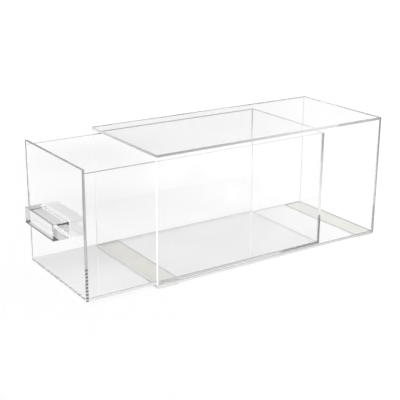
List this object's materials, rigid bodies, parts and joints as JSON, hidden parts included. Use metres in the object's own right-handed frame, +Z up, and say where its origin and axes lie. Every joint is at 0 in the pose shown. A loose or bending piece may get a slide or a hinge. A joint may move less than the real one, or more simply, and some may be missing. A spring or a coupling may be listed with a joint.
{
  "type": "drawer box",
  "caption": "Clear acrylic box for rolls of craft tape: an open-fronted case on foot strips, with a lidless drawer that pulls out by a solid clear block.",
  "frame": {"origin": "middle of the footprint at rest, drawer and handle included, on the surface the foot strips stand on", "axes": "the open mouth, the drawer front and the handle face -Y, the closed back faces +Y, +X is one long side and +Z is up"},
  "size_m": [0.1, 0.2914, 0.104],
  "materials": {
    "clear_acrylic": "polished clear acrylic sheet with polished edges",
    "foot_strip": "matt translucent ivory non-slip strip"
  },
  "bodies": {
    "case": {"case_floor": "clear_acrylic", "case_right_side": "clear_acrylic", "case_left_side": "clear_acrylic", "case_back": "clear_acrylic", "case_top": "clear_acrylic", "front_foot_strip": "foot_strip", "rear_foot_strip": "foot_strip"},
    "drawer": {"drawer_front": "clear_acrylic", "drawer_floor": "clear_acrylic", "drawer_right_side": "clear_acrylic", "drawer_left_side": "clear_acrylic", "drawer_back": "clear_acrylic", "drawer_handle": "clear_acrylic"}
  },
  "joints": [
    {"name": "drawer_slide", "type": "slide", "parent": "case", "child": "drawer", "axis": [0, -1, 0], "range_m": [-0.0584, 0.1616]}
  ]
}
